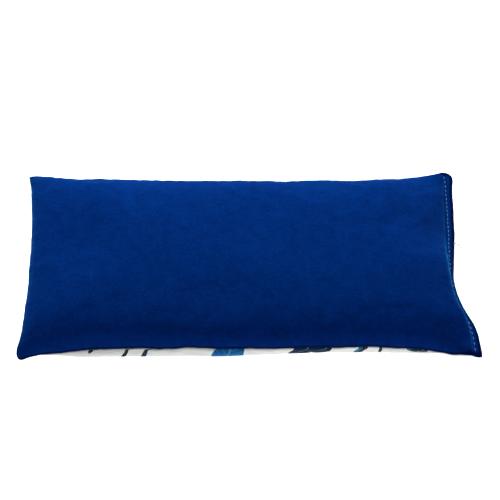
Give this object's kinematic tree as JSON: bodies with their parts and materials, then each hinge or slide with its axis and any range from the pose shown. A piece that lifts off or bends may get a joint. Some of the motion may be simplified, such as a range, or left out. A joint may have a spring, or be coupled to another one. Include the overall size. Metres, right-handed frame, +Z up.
{
  "type": "eye pillow",
  "caption": "Seed-filled eye pillow: a brushed knit top and a printed cotton back sewn into a soft oblong bag, with one topstitched end.",
  "frame": {"origin": "centre of the footprint, on the surface the pillow lies on", "axes": "+X along the pillow towards the topstitched end, +Y across it, +Z up out of the knit top"},
  "size_m": [0.24, 0.111, 0.029],
  "materials": {
    "brushed_knit": "soft brushed knit, matt",
    "printed_cotton": "plain woven cotton, printed",
    "flax_seed": "smooth brown seed",
    "blue_thread": "spun sewing thread",
    "white_thread": "spun sewing thread"
  },
  "bodies": {
    "root": {"front_panel": "brushed_knit", "back_panel": "printed_cotton", "seed_fill": "flax_seed", "inside_seam_needle_thread": "blue_thread", "inside_seam_bobbin_thread": "white_thread", "closing_needle_thread": "blue_thread", "closing_bobbin_thread": "white_thread", "thread_tail": "white_thread"}
  },
  "joints": []
}
